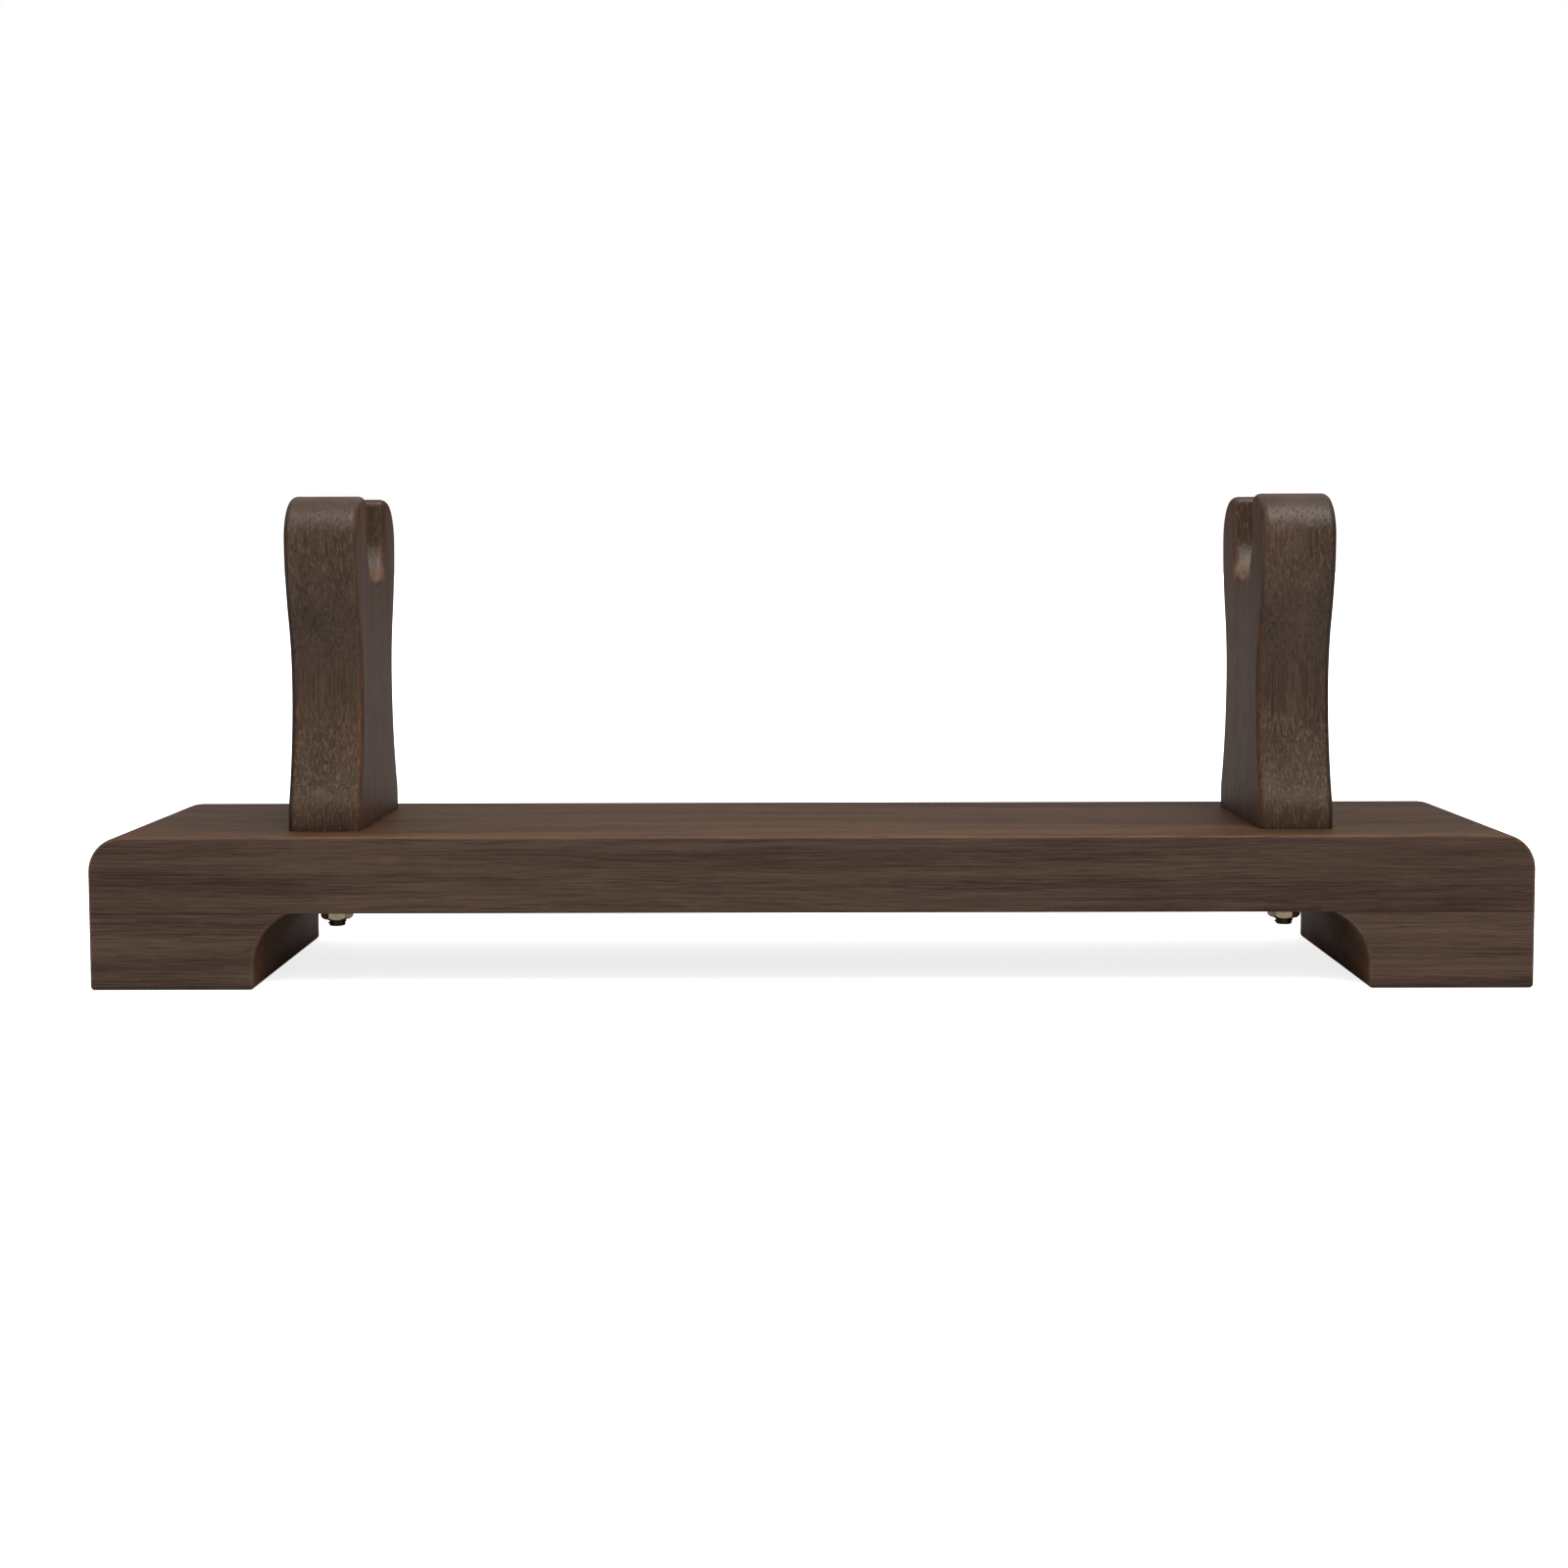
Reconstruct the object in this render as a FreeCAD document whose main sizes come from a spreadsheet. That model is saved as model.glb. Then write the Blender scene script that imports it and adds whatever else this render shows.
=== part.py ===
import FreeCAD, Part
import math
import os
import re

import Sketcher

# A low two-post cradle stand in stained wood. A plank lies on two foot blocks and carries two waisted
# posts, each with an open-topped round notch along X. Under each post a threaded stud comes down through
# the plank and is drawn tight with a washer and a nut. +X runs along the plank, the front faces -Y, +Z is
# up, and the origin is on the floor at the middle of the stand. Sizes are in millimetres.

DIMENSIONS = {
    "overall_length": 700.0,
    "board_depth": 146.0,
    "board_thickness": 37.5,
    "board_end_round": 17.0,
    "board_edge_round": 2.0,
    "foot_height": 37.5,
    "foot_length": 79.5,
    "foot_upright": 11.0,
    "foot_cove_radius": 28.5,
    "foot_softening": 2.0,
    "post_spacing": 479.0,
    "post_thickness": 36.0,
    "post_tall": 165.0,
    "post_waist_depth": 80.0,
    "post_waist_height": 72.0,
    "post_head_depth": 104.0,
    "post_cheek_radius": 120.0,
    "post_flare_radius": 160.0,
    "post_toe_height": 12.0,
    "post_toe_radius": 20.0,
    "post_shoulder_radius": 22.0,
    "post_softening": 3.5,
    "notch_width": 45.0,
    "notch_depth": 42.0,
    "notch_lip_radius": 4.0,
    "stud_outset": 1.7,
    "stud_forward": 17.0,
    "stud_diameter": 9.5,
    "stud_length": 75.0,
    "stud_hang": 15.0,
    "stud_chamfer": 1.2,
    "stud_hole_diameter": 11.0,
    "insert_diameter": 16.0,
    "insert_length": 25.0,
    "insert_chamfer": 1.0,
    "insert_hole_depth": 28.0,
    "washer_diameter": 25.4,
    "washer_hole_diameter": 10.5,
    "washer_thickness": 3.0,
    "washer_softening": 0.4,
    "nut_across_flats": 14.3,
    "nut_thickness": 8.4,
    "nut_corner_drop": 1.1,
    "nut_turn": -12.0,
    "thread_clearance": 0.05,
    "dowel_diameter": 10.0,
    "dowel_length": 39.0,
    "dowel_chamfer": 1.0,
    "dowel_clearance": 0.05,
    "dowel_hole_in_board": 16.0,
    "dowel_hole_in_piece": 24.0,
    "post_dowel_offset": 35.0,
    "foot_dowel_offset": 38.0,
    "foot_dowel_inset": 38.0,
}

SIDES = {"left": -1, "right": 1}
ENDS = {"front": -1, "rear": 1}
DOWEL_HOLE = "dowel_diameter + 2 * dowel_clearance"
CLOSE = 0.01

doc = FreeCAD.newDocument("cradle_stand")
sheet = doc.addObject("Spreadsheet::Sheet", "Dimensions")
for row, (alias, value) in enumerate(DIMENSIONS.items(), start=1):
    sheet.set("A%d" % row, alias)
    sheet.set("B%d" % row, str(value))
    sheet.setAlias("B%d" % row, alias)
doc.recompute()


def size(alias):
    """The value of one driving dimension."""
    return DIMENSIONS[alias]


def bound(text):
    """An expression in which every driving dimension's name points at the sheet."""
    return re.sub("[a-z_]+", lambda word: ("Dimensions." if word[0] in DIMENSIONS else "") + word[0], text)


def new_body(label):
    """An empty body whose label names its file."""
    body = doc.addObject("PartDesign::Body", label)
    body.Label = label
    return body


def origin_plane(body, role):
    """One of the body's own origin planes."""
    return next(item for item in body.Origin.OriginFeatures if item.Role == role)


def new_sketch(body, name, role, lift=None):
    """A sketch on one of the body's planes, raised from it by an expression where one is given."""
    sketch = body.newObject("Sketcher::SketchObject", body.Label + "_" + name)
    sketch.AttachmentSupport = [(origin_plane(body, role), "")]
    sketch.MapMode = "FlatFace"
    if lift:
        sketch.setExpression("AttachmentOffset.Base.z", bound(lift))
    return sketch


def constrain(sketch, kind, *references, name=None, formula=None):
    """Add one constraint, named and driven by a formula where one is given."""
    index = sketch.addConstraint(Sketcher.Constraint(kind, *references))
    if formula:
        sketch.renameConstraint(index, name)
        sketch.setExpression("Constraints." + name, bound(formula))
    return index


def point(across, up):
    """A point of a sketch."""
    return FreeCAD.Vector(across, up, 0)


def add_line(sketch, start, end):
    """A straight stretch of an outline."""
    return sketch.addGeometry(Part.LineSegment(point(*start), point(*end)), False)


def add_arc(sketch, centre, radius, start_angle, end_angle):
    """A round stretch of an outline, counter-clockwise, with its angles in radians."""
    circle = Part.Circle(point(*centre), FreeCAD.Vector(0, 0, 1), radius)
    return sketch.addGeometry(Part.ArcOfCircle(circle, start_angle, end_angle), False)


def add_rectangle(sketch, width, tall):
    """A rectangle that stands on the level axis, centred on the upright one."""
    half = size(width) / 2
    corners = [(-half, 0), (half, 0), (half, size(tall)), (-half, size(tall))]
    lines = [add_line(sketch, corners[i], corners[(i + 1) % 4]) for i in range(4)]
    for i in range(4):
        constrain(sketch, "Coincident", lines[i], 2, lines[(i + 1) % 4], 1)
    constrain(sketch, "Vertical", lines[1])
    constrain(sketch, "Horizontal", lines[2])
    constrain(sketch, "Vertical", lines[3])
    constrain(sketch, "Symmetric", lines[0], 1, lines[0], 2, -2)
    constrain(sketch, "PointOnObject", lines[0], 1, -1)
    constrain(sketch, "DistanceX", lines[0], 1, lines[0], 2, 2 * half, name="width", formula=width)
    constrain(sketch, "DistanceY", lines[1], 1, lines[1], 2, size(tall), name="tall", formula=tall)


def add_circle(sketch, name, across, up, diameter, across_formula, up_formula, diameter_formula):
    """A circle whose place and diameter follow the sheet; a zero place lies on the sketch's axis."""
    circle = Part.Circle(point(across, up), FreeCAD.Vector(0, 0, 1), diameter / 2)
    index = sketch.addGeometry(circle, False)
    if across_formula:
        constrain(sketch, "DistanceX", -1, 1, index, 3, across, name=name + "_across",
                  formula=across_formula)
    else:
        constrain(sketch, "PointOnObject", index, 3, -2)
    if up_formula:
        constrain(sketch, "DistanceY", -1, 1, index, 3, up, name=name + "_up", formula=up_formula)
    else:
        constrain(sketch, "PointOnObject", index, 3, -1)
    constrain(sketch, "Diameter", index, diameter, name=name + "_diameter", formula=diameter_formula)


def new_pad(body, name, sketch, length, symmetric=False):
    """A pad whose length follows a formula."""
    pad = body.newObject("PartDesign::Pad", body.Label + "_" + name)
    pad.Profile = sketch
    pad.setExpression("Length", bound(length))
    if symmetric:
        pad.SideType = "Symmetric"
    doc.recompute()
    return pad


def new_pocket(body, name, sketch, length, upward=False, symmetric=False):
    """A pocket whose depth follows a formula; it must take material away."""
    before = body.Shape.Volume
    pocket = body.newObject("PartDesign::Pocket", body.Label + "_" + name)
    pocket.Profile = sketch
    pocket.setExpression("Length", bound(length))
    pocket.Reversed = upward
    if symmetric:
        pocket.SideType = "Symmetric"
    doc.recompute()
    if body.Shape.Volume >= before:
        raise RuntimeError(pocket.Name + " cuts nothing")
    return pocket


def round_edges(body, name, radius, wanted, kind="PartDesign::Fillet"):
    """Round, or chamfer, every edge of the body that a test picks out."""
    base = body.Tip
    names = ["Edge%d" % i for i, edge in enumerate(base.Shape.Edges, start=1) if wanted(edge)]
    if not names:
        raise RuntimeError(body.Label + " has no edge for " + name)
    feature = body.newObject(kind, body.Label + "_" + name)
    feature.Base = (base, names)
    feature.setExpression("Size" if kind.endswith("Chamfer") else "Radius", bound(radius))
    doc.recompute()
    return feature


def lies_at(edge, axis, level):
    """Whether the whole edge lies in one plane across an axis."""
    box = edge.BoundBox
    low, high = {"X": (box.XMin, box.XMax), "Y": (box.YMin, box.YMax), "Z": (box.ZMin, box.ZMax)}[axis]
    return abs(low - level) < CLOSE and abs(high - level) < CLOSE


def runs_along(edge, axis):
    """Whether a straight edge runs along an axis."""
    box = edge.BoundBox
    spans = {"X": box.XLength, "Y": box.YLength, "Z": box.ZLength}
    return spans.pop(axis) > CLOSE and max(spans.values()) < CLOSE


def place(body, across, back, up, turn=0):
    """Set a body down in the stand, turned about +Z in degrees."""
    body.Placement = FreeCAD.Placement(
        FreeCAD.Vector(across, back, up), FreeCAD.Rotation(FreeCAD.Vector(0, 0, 1), turn)
    )


def post_across(side):
    """How far from the middle of the stand a side's post stands, with its sign."""
    return SIDES[side] * size("post_spacing") / 2


def stud_across(side):
    """How far from the middle of the stand a side's stud stands, with its sign."""
    return SIDES[side] * (size("post_spacing") / 2 + size("stud_outset"))


def signed(sign, formula):
    """A formula with its sign."""
    return formula if sign > 0 else "-1 * (" + formula + ")"


def dowel_hole_diameter():
    """The width of a dowel's hole, which leaves room for glue all round."""
    return size("dowel_diameter") + 2 * size("dowel_clearance")


def make_base_board():
    """The plank, with its stud holes and the blind holes of all eight dowels."""
    body = new_body("base_board")
    outline = new_sketch(body, "outline", "XZ_Plane")
    half = size("overall_length") / 2
    add_rectangle(outline, "overall_length", "board_thickness")
    new_pad(body, "plank", outline, "board_depth", symmetric=True)

    top = size("board_thickness")
    ends = (-half, half)
    round_edges(body, "end_rounds", "board_end_round",
                lambda edge: lies_at(edge, "Z", top) and any(lies_at(edge, "X", end) for end in ends))
    faces = (-size("board_depth") / 2, size("board_depth") / 2)
    round_edges(body, "long_edges", "board_edge_round",
                lambda edge: any(lies_at(edge, "Y", face) for face in faces) and not lies_at(edge, "Z", 0))

    studs = new_sketch(body, "stud_holes", "XY_Plane")
    for side, sign in SIDES.items():
        add_circle(studs, side, stud_across(side), -size("stud_forward"), size("stud_hole_diameter"),
                   signed(sign, "post_spacing / 2 + stud_outset"), "-1 * stud_forward", "stud_hole_diameter")
    new_pocket(body, "stud_bores", studs, "board_thickness", upward=True)

    diameter = dowel_hole_diameter()
    upper = new_sketch(body, "post_dowel_holes", "XY_Plane", lift="board_thickness")
    lower = new_sketch(body, "foot_dowel_holes", "XY_Plane")
    for side, sign in SIDES.items():
        for end, reach in ENDS.items():
            name = side + "_" + end
            add_circle(upper, name, post_across(side), reach * size("post_dowel_offset"), diameter,
                       signed(sign, "post_spacing / 2"), signed(reach, "post_dowel_offset"), DOWEL_HOLE)
            add_circle(lower, name, sign * (half - size("foot_dowel_inset")),
                       reach * size("foot_dowel_offset"), diameter,
                       signed(sign, "overall_length / 2 - foot_dowel_inset"),
                       signed(reach, "foot_dowel_offset"), DOWEL_HOLE)
    new_pocket(body, "post_dowel_bores", upper, "dowel_hole_in_board")
    new_pocket(body, "foot_dowel_bores", lower, "dowel_hole_in_board", upward=True)
    place(body, 0, 0, size("foot_height"))


def make_foot(side):
    """A foot block: upright for a way above the floor, then coved out to a thin lip under the plank."""
    body = new_body(side + "_foot")
    length = size("foot_length")
    upright = size("foot_upright")
    radius = size("foot_cove_radius")
    tall = size("foot_height")
    lip = length + radius - math.sqrt(radius ** 2 - (tall - upright) ** 2)
    lip_angle = math.atan2(tall - upright, lip - length - radius)

    outline = new_sketch(body, "outline", "XZ_Plane")
    bottom = add_line(outline, (0, 0), (length, 0))
    flank = add_line(outline, (length, 0), (length, upright))
    cove = add_arc(outline, (length + radius, upright), radius, lip_angle, math.pi)
    top = add_line(outline, (lip, tall), (0, tall))
    end = add_line(outline, (0, tall), (0, 0))
    constrain(outline, "Coincident", bottom, 1, -1, 1)
    constrain(outline, "Coincident", bottom, 2, flank, 1)
    constrain(outline, "Tangent", flank, 2, cove, 2)
    constrain(outline, "Coincident", cove, 1, top, 1)
    constrain(outline, "Coincident", top, 2, end, 1)
    constrain(outline, "Coincident", end, 2, bottom, 1)
    constrain(outline, "Horizontal", bottom)
    constrain(outline, "Horizontal", top)
    constrain(outline, "Vertical", flank)
    constrain(outline, "Vertical", end)
    constrain(outline, "DistanceX", bottom, 1, bottom, 2, length, name="length", formula="foot_length")
    constrain(outline, "DistanceY", flank, 1, flank, 2, upright, name="upright", formula="foot_upright")
    constrain(outline, "DistanceY", end, 2, end, 1, tall, name="tall", formula="foot_height")
    constrain(outline, "Radius", cove, radius, name="cove", formula="foot_cove_radius")
    new_pad(body, "block", outline, "board_depth", symmetric=True)
    round_edges(body, "end_corners", "board_edge_round",
                lambda edge: lies_at(edge, "X", 0) and runs_along(edge, "Z"))
    faces = (-size("board_depth") / 2, size("board_depth") / 2)
    round_edges(body, "soft_edges", "foot_softening",
                lambda edge: lies_at(edge, "Z", 0) or any(lies_at(edge, "Y", face) for face in faces)
                and edge.BoundBox.XMin > length - CLOSE)

    holes = new_sketch(body, "dowel_holes", "XY_Plane", lift="foot_height")
    for end_name, reach in ENDS.items():
        add_circle(holes, end_name, size("foot_dowel_inset"), reach * size("foot_dowel_offset"),
                   dowel_hole_diameter(), "foot_dowel_inset", signed(reach, "foot_dowel_offset"), DOWEL_HOLE)
    new_pocket(body, "dowel_bores", holes, "dowel_hole_in_piece")
    place(body, SIDES[side] * size("overall_length") / 2, 0, 0, turn=180 if side == "right" else 0)


def foot_reach():
    """Half the depth of a post at its foot, where the flare has come down to the toes."""
    flare = size("post_flare_radius")
    drop = size("post_waist_height") - size("post_toe_height")
    return size("post_waist_depth") / 2 + flare - math.sqrt(flare ** 2 - drop ** 2)


def add_post_outline(sketch):
    """The side view of a post: upright toes, a flare, a waist, full cheeks and round shoulders."""
    head = size("post_head_depth") / 2
    waist = size("post_waist_depth") / 2
    waist_up = size("post_waist_height")
    tall = size("post_tall")
    shoulder = size("post_shoulder_radius")
    cheek = size("post_cheek_radius")
    flare = size("post_flare_radius")
    reach = head - shoulder
    level = tall - shoulder
    rise = level - waist_up
    swell = head - waist
    hollow = (rise ** 2 + swell ** 2) / (2 * swell) - cheek
    toe = size("post_toe_height")
    foot = foot_reach()
    meet = math.atan2(rise, hollow + cheek - swell)
    sink = math.atan2(waist_up - toe, waist + flare - foot)

    bottom = add_line(sketch, (-foot, 0), (foot, 0))
    rear_toe = add_line(sketch, (foot, 0), (foot, toe))
    rear_flare = add_arc(sketch, (waist + flare, waist_up), flare, math.pi, math.pi + sink)
    rear_hollow = add_arc(sketch, (waist + hollow, waist_up), hollow, math.pi - meet, math.pi)
    rear_cheek = add_arc(sketch, (head - cheek, level), cheek, -meet, 0)
    rear_shoulder = add_arc(sketch, (reach, level), shoulder, 0, math.pi / 2)
    top = add_line(sketch, (reach, tall), (-reach, tall))
    front_shoulder = add_arc(sketch, (-reach, level), shoulder, math.pi / 2, math.pi)
    front_cheek = add_arc(sketch, (cheek - head, level), cheek, math.pi, math.pi + meet)
    front_hollow = add_arc(sketch, (-waist - hollow, waist_up), hollow, 0, meet)
    front_flare = add_arc(sketch, (-waist - flare, waist_up), flare, -sink, 0)
    front_toe = add_line(sketch, (-foot, toe), (-foot, 0))

    constrain(sketch, "Coincident", bottom, 2, rear_toe, 1)
    constrain(sketch, "Coincident", rear_toe, 2, rear_flare, 2)
    constrain(sketch, "Tangent", rear_flare, 1, rear_hollow, 2)
    constrain(sketch, "Tangent", rear_hollow, 1, rear_cheek, 1)
    constrain(sketch, "Tangent", rear_cheek, 2, rear_shoulder, 1)
    constrain(sketch, "Tangent", rear_shoulder, 2, top, 1)
    constrain(sketch, "Tangent", top, 2, front_shoulder, 1)
    constrain(sketch, "Tangent", front_shoulder, 2, front_cheek, 1)
    constrain(sketch, "Tangent", front_cheek, 2, front_hollow, 2)
    constrain(sketch, "Tangent", front_hollow, 1, front_flare, 2)
    constrain(sketch, "Coincident", front_flare, 1, front_toe, 1)
    constrain(sketch, "Coincident", front_toe, 2, bottom, 1)
    constrain(sketch, "PointOnObject", bottom, 1, -1)
    constrain(sketch, "Symmetric", bottom, 1, bottom, 2, -2)
    constrain(sketch, "Horizontal", top)
    constrain(sketch, "Vertical", rear_toe)
    constrain(sketch, "Vertical", front_toe)
    for rear, front in ((rear_flare, front_flare), (rear_hollow, front_hollow), (rear_cheek, front_cheek),
                        (rear_shoulder, front_shoulder)):
        constrain(sketch, "Equal", rear, front)
    constrain(sketch, "Horizontal", rear_shoulder, 3, rear_cheek, 3)
    constrain(sketch, "Horizontal", front_shoulder, 3, front_cheek, 3)
    constrain(sketch, "Horizontal", rear_hollow, 3, rear_flare, 3)
    constrain(sketch, "Horizontal", rear_hollow, 3, front_hollow, 3)

    reach_formula = "post_head_depth / 2 - post_shoulder_radius"
    constrain(sketch, "Radius", rear_shoulder, shoulder, name="shoulder", formula="post_shoulder_radius")
    constrain(sketch, "Radius", rear_cheek, cheek, name="cheek", formula="post_cheek_radius")
    constrain(sketch, "Radius", rear_flare, flare, name="flare", formula="post_flare_radius")
    constrain(sketch, "Radius", rear_hollow, hollow, name="hollow", formula=(
        "((post_tall - post_shoulder_radius - post_waist_height) ^ 2"
        " + (post_head_depth / 2 - post_waist_depth / 2) ^ 2)"
        " / (post_head_depth - post_waist_depth) - post_cheek_radius"))
    constrain(sketch, "DistanceY", rear_toe, 1, rear_toe, 2, toe, name="toe", formula="post_toe_height")
    constrain(sketch, "DistanceY", -1, 1, top, 1, tall, name="tall", formula="post_tall")
    constrain(sketch, "DistanceX", -1, 1, rear_shoulder, 3, reach, name="reach", formula=reach_formula)
    constrain(sketch, "DistanceX", front_shoulder, 3, -1, 1, reach, name="front_reach", formula=reach_formula)
    constrain(sketch, "DistanceY", -1, 1, rear_hollow, 3, waist_up, name="waist_up",
              formula="post_waist_height")


def add_notch_outline(sketch):
    """The notch: upright walls down to a half round, with its mouth above the top of the post."""
    half = size("notch_width") / 2
    centre = size("post_tall") - size("notch_depth") + half
    mouth = size("post_tall") + half
    round_bottom = add_arc(sketch, (0, centre), half, math.pi, 2 * math.pi)
    rear_wall = add_line(sketch, (half, centre), (half, mouth))
    lid = add_line(sketch, (half, mouth), (-half, mouth))
    front_wall = add_line(sketch, (-half, mouth), (-half, centre))
    constrain(sketch, "Tangent", round_bottom, 2, rear_wall, 1)
    constrain(sketch, "Coincident", rear_wall, 2, lid, 1)
    constrain(sketch, "Coincident", lid, 2, front_wall, 1)
    constrain(sketch, "Tangent", front_wall, 2, round_bottom, 1)
    constrain(sketch, "Horizontal", lid)
    constrain(sketch, "Vertical", rear_wall)
    constrain(sketch, "Vertical", front_wall)
    constrain(sketch, "PointOnObject", round_bottom, 3, -2)
    constrain(sketch, "Radius", round_bottom, half, name="half", formula="notch_width / 2")
    constrain(sketch, "DistanceY", -1, 1, round_bottom, 3, centre, name="centre",
              formula="post_tall - notch_depth + notch_width / 2")
    constrain(sketch, "DistanceY", -1, 1, lid, 1, mouth, name="mouth",
              formula="post_tall + notch_width / 2")


def make_post(side):
    """A waisted post with its notch, softened all round, and blind holes in its foot."""
    body = new_body(side + "_post")
    outline = new_sketch(body, "outline", "YZ_Plane")
    add_post_outline(outline)
    new_pad(body, "block", outline, "post_thickness", symmetric=True)
    notch = new_sketch(body, "notch", "YZ_Plane")
    add_notch_outline(notch)
    new_pocket(body, "notch_cut", notch, "2 * post_thickness", symmetric=True)

    tall = size("post_tall")
    half_notch = size("notch_width") / 2
    lip_reach = half_notch + size("notch_lip_radius")
    faces = (-size("post_thickness") / 2, size("post_thickness") / 2)

    def on_a_side_face(edge):
        return any(lies_at(edge, "X", face) for face in faces)

    def in_the_notch(edge):
        box = edge.BoundBox
        return max(-box.YMin, box.YMax) < lip_reach + CLOSE and box.ZMin > tall - size("notch_depth") - CLOSE

    round_edges(body, "notch_lips", "notch_lip_radius",
                lambda edge: runs_along(edge, "X") and lies_at(edge, "Z", tall)
                and abs(abs(edge.CenterOfMass.y) - half_notch) < CLOSE)
    round_edges(body, "toe_turns", "post_toe_radius",
                lambda edge: runs_along(edge, "X") and lies_at(edge, "Z", size("post_toe_height"))
                and abs(abs(edge.CenterOfMass.y) - foot_reach()) < CLOSE)
    round_edges(body, "outer_edges", "post_softening",
                lambda edge: on_a_side_face(edge) and not lies_at(edge, "Z", 0) and not in_the_notch(edge))

    insert = new_sketch(body, "insert_hole", "XY_Plane")
    add_circle(insert, "insert", SIDES[side] * size("stud_outset"), -size("stud_forward"),
               size("insert_diameter") + 2 * size("thread_clearance"), signed(SIDES[side], "stud_outset"),
               "-1 * stud_forward", "insert_diameter + 2 * thread_clearance")
    new_pocket(body, "insert_bore", insert, "insert_hole_depth", upward=True)
    holes = new_sketch(body, "dowel_holes", "XY_Plane")
    for end, reach in ENDS.items():
        add_circle(holes, end, 0, reach * size("post_dowel_offset"), dowel_hole_diameter(), None,
                   signed(reach, "post_dowel_offset"), DOWEL_HOLE)
    new_pocket(body, "dowel_bores", holes, "dowel_hole_in_piece", upward=True)
    place(body, post_across(side), 0, size("foot_height") + size("board_thickness"))


def make_rod(label, diameter, length, chamfer):
    """A round rod standing on its own origin, chamfered at both ends."""
    body = new_body(label)
    section = new_sketch(body, "section", "XY_Plane")
    add_circle(section, "rod", 0, 0, size(diameter), None, None, diameter)
    new_pad(body, "rod", section, length)
    round_edges(body, "ends", chamfer,
                lambda edge: lies_at(edge, "Z", 0) or lies_at(edge, "Z", size(length)),
                kind="PartDesign::Chamfer")
    return body


def bore(body, length):
    """The stud's hole, right through a piece and up its own axis."""
    hole = new_sketch(body, "hole", "XY_Plane")
    add_circle(hole, "hole", 0, 0, size("stud_diameter") + 2 * size("thread_clearance"), None, None,
               "stud_diameter + 2 * thread_clearance")
    new_pocket(body, "bore", hole, length, upward=True)


def make_stud(side):
    """The threaded rod of one post, as its outer cylinder."""
    body = make_rod(side + "_stud", "stud_diameter", "stud_length", "stud_chamfer")
    place(body, stud_across(side), -size("stud_forward"), size("foot_height") - size("stud_hang"))


def make_insert(side):
    """The threaded insert let into the foot of one post."""
    body = make_rod(side + "_insert_nut", "insert_diameter", "insert_length", "insert_chamfer")
    bore(body, "insert_length")
    place(body, stud_across(side), -size("stud_forward"), size("foot_height") + size("board_thickness"))


def make_washer(side):
    """The wide washer that spreads the nut's pull over the wood."""
    body = new_body(side + "_washer")
    ring = new_sketch(body, "ring", "XY_Plane")
    add_circle(ring, "outer", 0, 0, size("washer_diameter"), None, None, "washer_diameter")
    add_circle(ring, "inner", 0, 0, size("washer_hole_diameter"), None, None, "washer_hole_diameter")
    new_pad(body, "plate", ring, "washer_thickness")
    round_edges(body, "rims", "washer_softening",
                lambda edge: abs(edge.Length - math.pi * size("washer_diameter")) < CLOSE)
    place(body, stud_across(side), -size("stud_forward"), size("foot_height") - size("washer_thickness"))


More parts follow.
